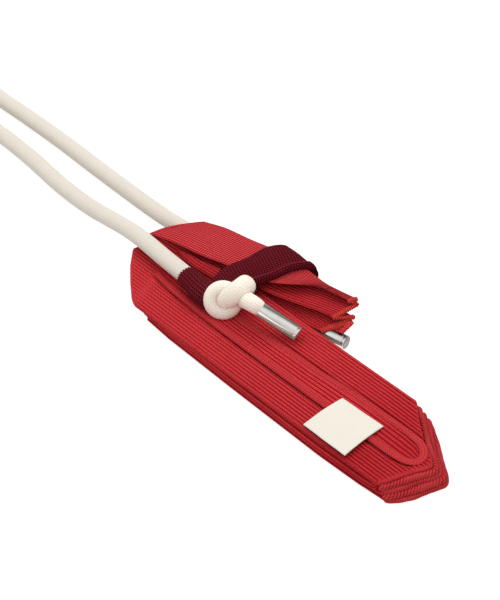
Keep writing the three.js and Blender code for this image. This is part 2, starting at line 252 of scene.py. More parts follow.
class Nodes:
    """Short calls for building a node tree."""

    def __init__(self, owner):
        owner.use_nodes = True
        self.owner = owner
        self.tree = owner.node_tree
        self.shader = self.tree.nodes.get("Principled BSDF")

    def new(self, kind):
        return self.tree.nodes.new("ShaderNode" + kind)

    def link(self, value, socket):
        if isinstance(value, bpy.types.NodeSocket):
            self.tree.links.new(value, socket)
        else:
            socket.default_value = value

    def math(self, operation, a, b=0.0, c=0.0):
        node = self.new("Math")
        node.operation = operation
        for i, value in enumerate((a, b, c)):
            self.link(value, node.inputs[i])
        return node.outputs[0]

    def total(self, *values):
        result = values[0]
        for value in values[1:]:
            result = self.math("ADD", result, value)
        return result

    def uv(self):
        node = self.new("UVMap")
        node.uv_map = "knit"
        parts = self.new("SeparateXYZ")
        self.tree.links.new(node.outputs[0], parts.inputs[0])
        return parts.outputs[0], parts.outputs[1]

    def along(self):
        """Place along the strip, in metres from the frame's origin."""
        where = self.new("TexCoord")
        parts = self.new("SeparateXYZ")
        self.tree.links.new(where.outputs["Object"], parts.inputs[0])
        return parts.outputs[0]

    def attribute(self, name):
        node = self.new("Attribute")
        node.attribute_name = name
        return node.outputs["Fac"]

    def noise(self, scale, detail, amount):
        """Noise about zero, fixed to the object."""
        where = self.new("TexCoord")
        node = self.new("TexNoise")
        node.inputs["Scale"].default_value = scale
        node.inputs["Detail"].default_value = detail
        self.tree.links.new(where.outputs["Object"], node.inputs["Vector"])
        return self.math("MULTIPLY", self.math("SUBTRACT", node.outputs[0], 0.5), amount)

    def yarn(self, amount):
        """Unevenness of single yarns."""
        return self.noise(*YARN_NOISE, amount)

    def patches(self):
        """Broad, faint unevenness of the cloth."""
        return self.noise(*PATCH_NOISE)

    def ramp(self, value, low, high):
        node = self.new("MapRange")
        node.interpolation_type = "SMOOTHSTEP"
        self.link(value, node.inputs[0])
        node.inputs[1].default_value = low
        node.inputs[2].default_value = high
        return node.outputs[0]

    def wave(self, value):
        """From 0 at whole numbers to 1 halfway between them."""
        part = self.math("FRACT", value)
        away = self.math("ABSOLUTE", self.math("SUBTRACT", part, self.math("ROUND", part)))
        return self.math("MULTIPLY", away, 2.0)

    def mix(self, factor, first, second):
        node = self.new("Mix")
        node.data_type = "RGBA"
        self.link(self.math("MINIMUM", self.math("MAXIMUM", factor, 0.0), 1.0), node.inputs[0])
        self.link(first, node.inputs[6])
        self.link(second, node.inputs[7])
        return node.outputs[2]

    def blend(self, factor, first, second):
        """A number between two others."""
        node = self.new("Mix")
        for i, value in zip((0, 2, 3), (factor, first, second)):
            self.link(value, node.inputs[i])
        return node.outputs[0]

    def bump(self, height, distance):
        node = self.new("Bump")
        node.inputs["Distance"].default_value = distance * MM
        self.link(height, node.inputs["Height"])
        self.tree.links.new(node.outputs[0], self.shader.inputs["Normal"])

    def open_sky(self, reach):
        """How open the surface is within a short distance: low between two strands."""
        node = self.new("AmbientOcclusion")
        node.inputs["Distance"].default_value = reach * MM
        return node.outputs["AO"]

    def pale_in_metal(self, color):
        """Seen plain and pale in polished metal, which then keeps its own colour."""
        path = self.new("LightPath")
        return self.mix(path.outputs["Is Glossy Ray"], color, SEEN_IN_METAL)

    def surface(self, color, roughness, specular):
        self.link(color, self.shader.inputs["Base Color"])
        self.shader.inputs["Roughness"].default_value = roughness
        self.shader.inputs["Specular IOR Level"].default_value = specular

    def knit(self, shade, light, dark):
        """A matt surface between a knit's light and dark colours."""
        color = self.mix(shade, rgba(light), rgba(dark))
        self.surface(self.pale_in_metal(color), KNIT_ROUGHNESS, KNIT_SHINE)


def knit_nodes(name):
    """A new material's nodes, with its place across and along the knit."""
    nodes = Nodes(bpy.data.materials.new(name))
    return nodes, *nodes.uv()


def rgba(color):
    """A colour with full alpha."""
    return (*color, 1.0)


# Where stitches begin to sink into the ribs towards the bottom end and where that is complete,
# in metres, how much of them is then gone, and how much darker the ribs are
BOTTOM_END_SPAN = (0.035, 0.085)
END_STITCH_FADE = 0.8
END_DARKENING = 0.36

# Painted shade in the creases between strands: how far off the next strand counts, in millimetres,
# and how open a place is where the painted shade begins and where it is deepest
CREASE_SHADE_REACH = 2.0
CREASE_SHADE_OPEN = (0.75, 0.2)


def rib_material(
        name, light, dark, slant=0.5, groove=0.9, stitched=0.45, relief=0.25, edge=0.5,
        crease_shade=0.0, darker_bottom_end=False):
    """Rib knit: dark between ribs, each rib a column of stitches that slant off its middle."""
    nodes, u, v = knit_nodes(name)
    off_crest = nodes.wave(u)
    stitch = nodes.wave(nodes.math("MULTIPLY_ADD", off_crest, slant, v))
    in_groove = nodes.math("MULTIPLY", nodes.ramp(off_crest, edge, 0.95), nodes.attribute("rib"))
    yarn = nodes.yarn(0.9)
    between = nodes.math("MULTIPLY", nodes.ramp(stitch, 0.6, 0.0), stitched)
    shade = nodes.total(nodes.math("MULTIPLY", in_groove, groove), yarn, nodes.patches())
    # The ribs turn darker, and their stitches fainter, towards the bottom end
    if darker_bottom_end:
        variation = nodes.ramp(nodes.along(), *BOTTOM_END_SPAN)
        left = nodes.math("MULTIPLY_ADD", variation, -END_STITCH_FADE, 1.0)
        between = nodes.math("MULTIPLY", between, left)
        shade = nodes.math("MULTIPLY_ADD", variation, END_DARKENING, shade)
    shade = nodes.total(shade, between)
    # Painted shade: creases between strands darkened from ambient occlusion
    if crease_shade:
        crease = nodes.ramp(nodes.open_sky(CREASE_SHADE_REACH), *CREASE_SHADE_OPEN)
        shade = nodes.total(shade, nodes.math("MULTIPLY", crease, crease_shade))
    nodes.knit(shade, light, dark)
    raised = nodes.ramp(stitch, 0.0, 0.7)
    nodes.bump(nodes.total(raised, nodes.math("MULTIPLY", yarn, 0.5)), relief)
    return nodes.owner


PURL_CONTRAST = 2.4
PURL_RELIEF = 0.35


def purl_material(name, light, dark):
    """The back of the knit: short dashes in rows, set off like bricks."""
    nodes, u, v = knit_nodes(name)
    across = nodes.wave(u)
    along = nodes.wave(nodes.math("MULTIPLY_ADD", nodes.math("FLOOR", u), 0.5, v))
    yarn = nodes.yarn(0.7)
    dash = nodes.math("MULTIPLY", nodes.ramp(across, 0.0, 0.8), nodes.ramp(along, 0.0, 0.8))
    low = nodes.math("MULTIPLY", nodes.math("SUBTRACT", 0.55, dash), PURL_CONTRAST)
    nodes.knit(nodes.total(low, yarn, nodes.patches()), light, dark)
    nodes.bump(nodes.total(dash, nodes.math("MULTIPLY", yarn, 0.4)), PURL_RELIEF)
    return nodes.owner


# Marks on the metal: how many fine draw marks lie round it, and the places and half width of
# the dark streaks, which are painted reflections, as shares of the way round
FINE_MARKS = 40.0
PAINTED_STREAK_PLACES = (0.205, 0.34, 0.66)
PAINTED_STREAK_WIDE = 0.022
METAL_ROUGHNESS = 0.16


def metal_material(name):
    """Bright plated metal with faint draw marks along it, painted reflection streaks, and painted
    shade where its rib value is low.
    """
    nodes, around, _ = knit_nodes(name)
    fine = nodes.wave(nodes.math("MULTIPLY", around, FINE_MARKS))
    marks = nodes.total(nodes.math("MULTIPLY", fine, 0.12), nodes.noise(300.0, 2.0, 0.4))
    # Painted reflections: dark streaks along the tip at fixed places round it
    for line in PAINTED_STREAK_PLACES:
        away = nodes.math("ABSOLUTE", nodes.math("SUBTRACT", around, line))
        painted_streak = nodes.math("MULTIPLY", nodes.ramp(away, PAINTED_STREAK_WIDE, 0.0), 0.7)
        marks = nodes.total(marks, painted_streak)
    plated = nodes.mix(marks, rgba(METAL), rgba(METAL_MARK_AND_STREAK))
    # Painted shade: darker metal where the rib value is low
    color = nodes.mix(nodes.attribute("rib"), rgba(METAL_PAINTED_SHADE), plated)
    nodes.surface(color, METAL_ROUGHNESS, 0.5)
    nodes.shader.inputs["Metallic"].default_value = 1.0
    return nodes.owner


def weave_material(name, light, dark):
    """Smooth plain weave in fine thread."""
    nodes, u, v = knit_nodes(name)
    over = nodes.math("MULTIPLY", nodes.wave(u), nodes.wave(v))
    under = nodes.math("MULTIPLY", nodes.math("SUBTRACT", 0.6, over), 0.5)
    shade = nodes.total(under, nodes.noise(500.0, 2.0, 0.5))
    nodes.surface(nodes.mix(shade, rgba(light), rgba(dark)), 0.7, 0.3)
    nodes.bump(over, 0.05)
    return nodes.owner


# Linear colours
RED = (0.64, 0.047, 0.054)
RED_DARK = (0.29, 0.0045, 0.0075)
RED_PURL = (0.70, 0.080, 0.089)
# A darker copy of the red for the mouth's pleats: painted shade
RED_PAINTED_SHADE = (0.54, 0.039, 0.046)
RED_EDGE = (0.80, 0.072, 0.060)
RED_SOFT = (0.565, 0.046, 0.052)
RED_ROLL = (0.54, 0.046, 0.051)
BURGUNDY = (0.180, 0.0146, 0.0235)
BURGUNDY_DARK = (0.045, 0.0015, 0.004)
BURGUNDY_SEAM = (0.215, 0.022, 0.033)
CORD = (0.68, 0.63, 0.555)
CORD_DARK = (0.62, 0.56, 0.475)
# Lighter copies of the cord's colours for the knots: painted light
YARN = (0.99, 0.925, 0.825)
YARN_DARK = (0.80, 0.66, 0.52)
LABEL = (0.77, 0.726, 0.644)
LABEL_DARK = (0.69, 0.64, 0.545)
METAL = (0.90, 0.875, 0.84)
METAL_MARK_AND_STREAK = (0.50, 0.48, 0.45)
METAL_PAINTED_SHADE = (0.20, 0.18, 0.17)

red_rib = rib_material(
    "red_rib_knit", RED, RED_DARK, groove=1.2, stitched=0.6, edge=0.45, darker_bottom_end=True)
red_soft = rib_material("red_soft_knit", RED_SOFT, RED_DARK, groove=1.0, stitched=0.5, relief=0.2)
red_roll = rib_material("red_roll_knit", RED_ROLL, RED_DARK, groove=1.1, stitched=0.0, edge=0.25)
red_painted_shade = rib_material("red_painted_shade_knit", RED_PAINTED_SHADE, RED_DARK, groove=1.3, stitched=0.9)
red_edge = rib_material("red_edge_knit", RED_EDGE, RED_DARK, groove=0.6, stitched=0.4, relief=0.5)
red_purl = purl_material("red_purl_knit", RED_PURL, RED_DARK)
burgundy_rib = rib_material(
    "burgundy_rib_knit", BURGUNDY, BURGUNDY_DARK, slant=0.7, groove=0.8, stitched=1.0, relief=0.4)
burgundy_seam = rib_material(
    "burgundy_seam_knit", BURGUNDY_SEAM, BURGUNDY, groove=0.7, stitched=0.6)
burgundy_purl = purl_material("burgundy_purl_knit", BURGUNDY, BURGUNDY_DARK)
cream_cord = rib_material(
    "cream_cord_knit", CORD, CORD_DARK, groove=0.45, stitched=0.15, relief=0.1)
cream_knot_painted_light = rib_material(
    "cream_knot_painted_light_knit", YARN, YARN_DARK, slant=0.6, groove=0.45, stitched=0.4, relief=0.2,
    crease_shade=4.2)
bright_metal = metal_material("bright_metal")
label_weave = weave_material("label_weave", LABEL, LABEL_DARK)


# The strap and its route from the near knot out to its loop and back to the far knot

# Half sizes of the cord and the height of its middle on the floor, then the columns of
# stitches round it, the length of one and how deep the columns part
CORD_WIDE = 5.5
CORD_HIGH = 4.5
CORD_REST = 4.7
CORD_COLUMNS = 18
CORD_STITCH = 1.1
CORD_RELIEF = 0.16
strap_route = [
    (-31.4, 1.6, 16.3), (-44, 2.2, 16.9), (-52, 2.8, 17.1), (-72.4, 4.3, 16.7),
    (-94.5, 6.7, 15.8), (-110, 8.6, 13.3), (-127, 10.4, 9.2), (-144, 11.5, 5.9),
    (-161, 12, CORD_REST), (-180, 12.8, CORD_REST), (-214, 16.4, CORD_REST),
    (-247, 18, CORD_REST), (-285, 17, CORD_REST), (-325, 13, CORD_REST), (-362, 8, CORD_REST),
    (-396, 6, CORD_REST), (-424, 13, CORD_REST), (-437, 31, CORD_REST), (-426, 49, CORD_REST),
    (-398, 57, CORD_REST), (-362, 54, CORD_REST), (-322, 47, CORD_REST), (-280, 42, CORD_REST),
    (-255, 42.1, CORD_REST), (-214, 41.7, CORD_REST), (-169, 39.8, CORD_REST),
    (-112, 38.6, CORD_REST), (-78, 40.5, CORD_REST), (-58, 38.6, 4.9), (-44, 37, 5.5),
    (-18.3, 37, 5.5),
]
strap_line = spline(strap_route, 420)
strap_skin = ribbed_tube(
    strap_line, CORD_WIDE, CORD_HIGH, CORD_COLUMNS, CORD_STITCH, CORD_RELIEF)
strap = add_piece("strap", [strap_skin], cream_cord, ["strap_cord"])


# The pleated strip: four doubled layers

def smoothed(x, values, reach):
    """A line of values with its corners rounded over a distance."""
    count = max(1, int(round(reach / (x[1] - x[0]))))
    kernel = np.hanning(count + 2)[1:-1]
    padded = np.pad(values, count, mode="reflect", reflect_type="odd")
    return np.convolve(padded, kernel / kernel.sum(), mode="same")[count:-count]


def nosed(start, end, nose, step):
    """Places from start to end with a rounded nose at each, and the share of full height there."""
    turn = np.radians(np.linspace(90, 0, 7))
    count = max(2, int(round((end - start - 2 * nose) / step)) + 1)
    inner = np.linspace(start + nose, end - nose, count)
    lead = start + nose * (1 - np.sin(turn))
    tail = (end - nose * (1 - np.sin(turn)))[::-1]
    places = np.concatenate([lead[:-1], inner, tail[1:]])
    share = np.concatenate([np.cos(turn)[:-1], np.ones(len(inner)), np.cos(turn)[::-1][1:]])
    return places, share


def slab(start, end, near, far, mid, steps, step=0.33, lean=None, sag=None, shown=None):
    """A rounded layer of ribbed cloth between end lines over Y, as an upper and a lower skin."""
    y, height = nosed(near, far, LAYER_NOSE, step)
    x0 = np.interp(y, *start)
    x1 = np.interp(y, *end)
    turn = np.radians(np.linspace(90, 0, 8))
    t = np.linspace(0, 1, steps)[1:-1]
    blunt = 1.5 * LAYER_NOSE
    lead = x0 + (blunt * (1 - np.sin(turn)))[:, None]
    inner = (x0 + blunt) * (1 - t)[:, None] + (x1 - blunt) * t[:, None]
    tail = x1 - (blunt * (1 - np.sin(turn[::-1])))[:, None]
    x = np.concatenate([lead, inner, tail])
    share = np.concatenate([np.cos(turn), np.ones(len(t)), np.cos(turn[::-1])])
    rise = LAYER_HALF * share[:, None] * height[None, :]
    over = np.hypot(np.diff(y), np.diff(LAYER_HALF * height))
    phase = np.concatenate([[0.0], np.cumsum(over)]) / RIB
    phase = np.broadcast_to(phase, x.shape)
    flat_y = np.broadcast_to(y, x.shape)
    yy = flat_y + (lean(x, flat_y) if lean else 0.0)
    lip = np.interp(flat_y, [-4, 9], [1.9, 0.4])
    rib = soft_step((x1 - x - lip) / 1.8) * (0.4 + 0.6 * soft_step((x - x0) / 4))
    if shown:
        rib = rib * shown(x, yy)
    upper = np.stack([x, yy, mid + rise + (sag(x, yy) if sag else 0.0)], -1)
    lower = np.stack([x, yy, mid - rise], -1)[:, ::-1]
    skins = []
    for p, ph, r in ((upper, phase, rib), (lower, phase[:, ::-1], rib[:, ::-1])):
        p = ribbed(p, ph, RIB_DEPTH * r)
        skins.append((p, np.stack([ph, arc_length(p, 0) / STITCH], -1), r))
    return skins


# Near edges of the top layer, of the lower ones and of the one inside a fold, and the far edge
TOP_NEAR = -30.2
LOW_NEAR = -29.4
FOLD_NEAR = -27.2
STRIP_FAR = 30

# Where each layer begins at the slanted fold, over Y
y_line = np.linspace(-31, 31, 249)
top_start = smoothed(y_line, np.interp(
    y_line, [-31, -30.3, -28.1, -19.2, -9.6, 1.9, 6, 14, 30],
    [-57, -59.5, -64.5, -76.1, -87.4, -98.2, -97, -95, -84]), 4)
low_start = smoothed(y_line, np.interp(y_line, [-31, -28, 0, 30], [-49.5, -53, -84, -78]), 5)

# The end line of the top layer over Y, and how much further each lower layer reaches
END_Y = [-31, -30, -27, -23.6, -16.2, -9.4, -2.6, 0.5, 3, 5.6, 10.2, 15.7, 21.5, 28.1, 30, 31]
END_X = [128, 130.6, 132, 133.4, 135.7, 138.2, 141.6, 142, 139.4, 135.2, 127.4, 120.7, 113.6,
         105.8, 103, 101]
END_STEP = [1.6, 1.8, 2.8, 3.2, 3.8, 3.5, 2.8, 3.1, 3.8, 4.7, 5.4, 5.3, 5.0, 4.4, 4.2, 4.2]


def layer_end(below):
    """The end line of a layer so many places below the top one."""
    reach = np.array(END_X) + below * np.array(END_STEP)
    return smoothed(y_line, np.interp(y_line, END_Y, reach), 5)


# The raised centre pleat's rim, from the near ridge round the bottom end and back
near_ridge = [(-70.5, -3), (-62, -4.6), (-45, -6.3), (-15, -7.6), (20, -8.4), (70, -8.5),
    (122.5, -8.5)]
rim_turn = [(129.5, -7.2), (133, -5.2), (134.4, -1.9), (133.8, 1.6), (131, 5), (126, 7.6)]
far_ridge = [(118.6, 8.4), (100, 8.3), (82, 7.9), (68, 7.1), (50, 6.1), (33, 5.9), (-6, 5.4),
    (-45, 6.2), (-71, 7)]
RIM_WIDE = 2.3
RIM_HIGH = 1.0

# How deep the top layer dips along the rim's near side, along its far side and inside its end
NEAR_DIP = 1.3
FAR_DIP = 1.9
END_DIP = 0.9
near_side = np.array(near_ridge + rim_turn[:3]).T
far_side = np.array((rim_turn[2:] + far_ridge)[::-1]).T


def beside_rim(x, y):
    """How the top layer dips along both outer sides of the rim and inside its end."""
    near_gap = y - (np.interp(x, *near_side) - RIM_WIDE + 0.1)
    far_gap = y - (np.interp(x, *far_side) + RIM_WIDE - 0.1)
    inside = soft_step((x + 74) / 4) * soft_step((136 - x) / 3)
    plunge = np.exp(-(np.maximum(far_gap, 0) / 1.7) ** 2) * soft_step((far_gap + 4) / 3)
    within = soft_step((-far_gap - 0.5) / 2) * soft_step((near_gap - 0.5) / 2)
    within = within * soft_step((x - 80) / 40)
    near_dip = NEAR_DIP * np.exp(-(near_gap / 1.3) ** 2)
    far_dip = FAR_DIP * plunge * soft_step((x + 20) / 50)
    return -inside * (near_dip + far_dip + END_DIP * within)


def lean_in(x, y):
    """Ribs of the far panel lean in towards the point of the bottom end."""
    reach = np.clip((x - 85) / 45, 0, 1)
    return -2.2 * reach**2 * np.clip((y - 8) / 12, 0, 1) * np.clip((31 - y) / 6, 0, 1)


def facet_shown(x, y):
    """Ribs are shallower towards the fold, and flatten along a soft crease over the left facet."""
    crease = -70.5 + np.clip(-y, 0, 26) ** 1.25 * 0.155
    flat = 0.65 * np.exp(-((x - crease) / 3.2) ** 2) * soft_step((2 - y) / 4)
    return (1 - flat) * (0.7 + 0.3 * soft_step((x + 50) / 130))


top_layer = slab(
    (y_line, top_start), (y_line, layer_end(0)), TOP_NEAR, STRIP_FAR, LAYER_MIDS[3], 170,
    lean=lean_in, sag=beside_rim, shown=facet_shown)
strip = add_piece("strip_top", top_layer, red_rib, ["pouch_body"])


def low_edge(x):
    """How far in the near edge of the lower layers lies, from the fold to the bottom end."""
    return np.interp(x, [-58, -32, 20, 90, 118, 140], [2.6, 0.5, -0.8, -1.9, -1.2, 0.4])


def lean_low(x, y):
    """Lower layers step in at the near edge, and give way at the far one to a metal tip."""
    pressed = 1.2 * np.exp(-((x - 20) / 11) ** 2) * np.clip((y - 12) / 18, 0, 1)
    return low_edge(x) * np.clip(-y / 29, 0, 1) - pressed


# Lower layers: place below the top one, shift of its start, and near edge
low_layers = []
for below, shift, near in ((1, -4, FOLD_NEAR), (2, -4, LOW_NEAR), (3, -1, LOW_NEAR)):
    end = layer_end(1.11 * below - 0.72)
    low_layers += slab(
        (y_line, low_start + shift), (y_line, end), near, STRIP_FAR,
        LAYER_MIDS[3 - below], 70, 0.4, lean=lean_low)


def side_fold(y, mid, out, start, end):
    """A rounded fold that joins two layers along one side of the strip."""
    x, share = nosed(start, end, 3.0, 2.0)
    turn = np.radians(np.linspace(-100, 100, 31)) * -out
    radius = 2 * LAYER_HALF + 0.2
    inset = lean_low(x, np.full_like(x, 29.0 * out))
    yy = y + inset[:, None] + out * radius * (np.cos(turn)[None, :] * share[:, None])
    zz = mid + radius * np.sin(turn)[None, :] * (0.35 + 0.65 * share[:, None])
    p = np.stack([np.broadcast_to(x[:, None], yy.shape), yy, zz], -1)
    uv = knit_uv(p, shift=0.35)
    return ribbed(p, uv[..., 0], 0.3), uv, 1.0


# Folds along the sides: place across, middle height, which way out, start and end
SIDE_FOLDS = [(FOLD_NEAR, 4.5, -1, -52, 130), (27.6, 2.4, 1, -70, 112), (27.6, 7.6, 1, -70, 103)]
low_layers += [side_fold(*fold) for fold in SIDE_FOLDS]
low_strip = add_piece("strip_low", low_layers, red_rib)


# Stitches of a rolled edge: pitch, slant, depth and sides of its section
SLANTED = (1.85, -1.9, 0.36, 44)
PLAIN = (1.3, -0.6, 0.12, 18)

# Rolled edges round the bottom end: how far below the top layer, at what height and how large,
# each on the near side, at the point and on the far side
ROLL_Y = [-10, 1, 11]
END_ROLLS = [
    ((0.37, 0.6, 0.5), (7.2, 7.4, 7.4), (1.9, 2.0, 1.6), SLANTED),
    ((1.1, 1.3, 1.35), (5.4, 5.6, 5.6), (1.5, 1.5, 1.2), PLAIN),
    ((1.75, 2.1, 2.1), (3.2, 3.9, 3.4), (2.1, 2.2, 1.5), SLANTED),
    ((2.5, 2.7, 2.5), (1.4, 1.5, 1.3), (1.35, 1.5, 1.1), PLAIN),
]


def end_roll(below, height, size, stitches):
    """One rolled edge, closed at both ends, a little uneven and worn down here and there."""
    pitch, slant, depth, sides = stitches
    y = np.linspace(-29.4, 28.8, 500)
    reach, level, radius = (
        smoothed(y, np.interp(y, ROLL_Y, values), 8) for values in (below, height, size))
    ends = np.stack([np.interp(y, y_line, layer_end(places)) for places in (0, 1)])
    x = ends[0] + reach * (ends[1] - ends[0]) - 1.2 * soft_step((y - 20) / 9)
    line = even(np.stack([x, y, level], 1), 360)
    along = run(line)
    radius = np.interp(line[:, 1], y, radius)
    close = np.clip(np.minimum(along, along[-1] - along) / (1.8 * size[0]), 0, 1)
    radius = radius * np.sqrt(np.clip(1 - (1 - close) ** 2, 0.002, 1))
    uneven = 1 + 0.05 * np.sin(0.37 * along + 2 * height[0]) + 0.04 * np.sin(0.91 * along)
    radius = radius * uneven
    variation = (0.68 + 0.32 * np.sin(0.23 * along + 1.7 * height[0]))[:, None]
    skin, uv, rib = corded(line, radius, radius, pitch, slant, depth * variation, sides)
    return skin, uv, rib * variation


end_rolls = add_piece("end_rolls", [end_roll(*roll) for roll in END_ROLLS], red_roll)

# Thin rolled edge along the near side of the top layer
hem_x = np.linspace(-52, 129.5, 500)
hem_y = -29.75 + 1.2 * soft_step((hem_x - 126) / 5) + 0.5 * soft_step((-47 - hem_x) / 6)
hem_line = np.stack([hem_x, hem_y, np.full_like(hem_x, TOP_FACE - 0.55)], 1)
hem_skin = corded(hem_line, 0.8, 0.75, STITCH, 0.8, 0.1, 14)
hem = add_piece("near_hem", [hem_skin], red_rib)


# The raised centre pleat: a ribbed panel inside a rolled rim
rim_line = spline([(x, y, TOP_FACE + 0.1) for x, y in near_ridge + rim_turn + far_ridge], 900)
rim_shown = 1 - 0.45 * soft_step((rim_line[:, :1] - 105) / 20)
rim_skin, rim_uv, _ = corded(
    rim_line, RIM_WIDE, RIM_HIGH * rim_shown[:, 0], 1.5, 1.5, 0.15 * rim_shown, 24, True)
pleat_rim = add_piece("pleat_rim", [(rim_skin, rim_uv, 0.7 * rim_shown)], red_soft)

PANEL_RIBS = 6.0
panel_x = np.linspace(-72, 133.5, 150)
share = np.linspace(0, 1, 50)
near_y = np.interp(panel_x, *near_side)
far_y = np.interp(panel_x, *far_side)
panel_y = near_y[:, None] * (1 - share) + far_y[:, None] * share
panel_z = TOP_FACE + 0.55 - 1.1 * soft_step((panel_x - 85) / 45)
panel_parts = (panel_x[:, None], panel_y, panel_z[:, None])
panel = np.stack([np.broadcast_to(part, panel_y.shape) for part in panel_parts], -1)
panel_u = np.broadcast_to(share * PANEL_RIBS, panel_y.shape)
panel_uv = np.stack([panel_u, arc_length(panel, 0) / STITCH], -1)
panel_skin = ribbed(panel, panel_u, 0.5)
pleat_panel = add_piece("pleat_panel", [(panel_skin, panel_uv, 1.0)], red_rib)


# The flap: the mouth end folded back over the strip

def flap_row(near, middle, far):
    """A row over the flap: turned under at its near edge, and on down the folds at its far one."""
    turned = [(5, 10, -1.8), (0.5, 1.2, -1.2), (0, 0, 0)]
    folds = [(0, 0, 0), (0.8, 1.3, -1.4), (0.5, 1.0, -3.0), (0, -4, -3.8), (0.5, 1.1, -5.0),
             (0.4, 0.8, -6.6), (0, -4, -7.4), (0.4, 0.6, -8.6), (0, -2, -9.6)]
    steps = [np.add(near, step) for step in turned]
    return steps + [np.array(point) for point in middle] + [np.add(far, step) for step in folds]


# The slanted crease, from its near corner to its far one
CREASE = [(-96.3, 13.7, 15), (-92.5, 21.9, 17), (-85.8, 30.7, 19), (-77.4, 41, 20)]
flap_rows = [
    flap_row(CREASE[0], CREASE[1:3], CREASE[3]),
    flap_row((-76.8, 16.6, 18), [(-74, 25, 20), (-70.5, 33.5, 21)], (-65, 44.3, 21.4)),
    flap_row((-55.1, 19.3, 20), [(-53, 28, 21.6), (-50.5, 36, 22.3)], (-46, 47.2, 22.3)),
    flap_row((-38.2, 23.0, 21), [(-36, 31, 22.4), (-33, 39, 23.2)], (-26, 50.6, 23.6)),
    flap_row((-27, 25.2, 19.8), [(-24.5, 33, 21), (-21, 41.5, 22)], (-14, 52.8, 23)),
]
flap_grid = sheet_from_rows(flap_rows, 150, 90)
flap_uv = knit_uv(flap_grid, *FLAP_KNIT)
flap = add_piece("flap", [(flap_grid, flap_uv, 1.0)], red_purl, thick=0.8)

# The turned stack at the slanted crease, from the floor round to the flap
OUTWARD = np.array([-0.82, 0.57, 0.0])
turn_rows = []
for corner in spline(CREASE, 7):
    tall = corner[2]
    profile = [
        (-1.5, 0.3), (0, 0), (1.7, -1.5), (1.0, -0.3 * tall), (-1.5, -0.4 * tall),
        (1.2, -0.5 * tall), (1.4, -0.66 * tall), (-1.0, -0.74 * tall), (1.0, -0.82 * tall),
        (0.4, -0.95 * tall), (-5, 0.4 - tall)]
    turn_rows.append([corner + out * OUTWARD + (0, 0, drop) for out, drop in profile][::-1])
turn_grid = sheet_from_rows(turn_rows, 110, 70)[::-1]
turn_uv = knit_uv(turn_grid, *TURN_KNIT)
fold_turn = add_piece("fold_turn", [(turn_grid, turn_uv, 1.0)], red_purl, thick=0.6)

# Cloth seen under the flap: the facet inside the fold and the first inner pleat
facet_rows = [
    [(-95.5, 7, 10.6), (-94.5, 12, 12.6), (-95.5, 14.2, 14.6), (-93, 17, 15.2)],
    [(-84, 8, 10.7), (-83.5, 14, 12.8), (-83, 18, 14.8), (-82, 21, 15.6)],
    [(-70, 9.5, 10.8), (-70, 16, 12.2), (-70, 21, 13), (-70, 26, 13.4)],
    [(-40, 10.5, 10.8), (-40, 17, 11.8), (-40, 23, 12.4), (-40, 30, 12.6)],
    [(-28, 11, 10.6), (-28, 18, 11.4), (-28, 24, 12), (-28, 31, 12.2)],
]
facet_grid = sheet_from_rows(facet_rows, 80, 80)
facet_uv = knit_uv(facet_grid, *FACET_KNIT)

# The inner pleat: place along, then Y and Z of its near, low edge and of its far, high one
inner_edges = [
    (-74, 15.6, 13.4, 16.0, 15.4), (-68.6, 14.7, 13.4, 16.6, 16), (-60, 13.8, 13.3, 17.9, 16.3),
    (-50, 14.5, 13.3, 19.7, 16.6), (-42.7, 15.1, 13.3, 20.9, 17), (-29, 18, 13.4, 24, 17.4),
]
inner_rows = [[
    (x, front + 9, 11.8), (x, front + 1.4, 12.2), (x, front, low),
    (x, 0.55 * front + 0.45 * back, 0.4 * low + 0.6 * high),
    (x, back, high), (x, back + 0.9, high - 1.2), (x, back + 4, high - 4),
] for x, front, low, back, high in inner_edges]
inner_grid = sheet_from_rows(inner_rows, 90, 70)
inner_uv = knit_uv(inner_grid, *INNER_KNIT)
inner = add_piece(
    "inner_pleats", [
        (ribbed(facet_grid, facet_uv[..., 0], 0.4), facet_uv, 1.0),
        (ribbed(inner_grid, inner_uv[..., 0], 0.45), inner_uv, 1.0),
    ], red_rib, thick=0.6)


# The mouth: pleats that spread out beyond the band

def pleated(corners, per):
    """Points down a row of pleats, with the folds rounded."""
    c = np.asarray(corners, float)
    t = np.linspace(0, len(c) - 1, per * (len(c) - 1) + 1)
    line = np.stack([np.interp(t, np.arange(len(c)), c[:, i]) for i in range(3)], 1)
    reach = max(2, per // 7)
    kernel = np.hanning(2 * reach + 3)[1:-1]
    kernel = kernel / kernel.sum()
    padded = np.pad(line, ((reach, reach), (0, 0)), mode="reflect", reflect_type="odd")
    return np.stack([np.convolve(padded[:, i], kernel, "valid") for i in range(3)], 1)


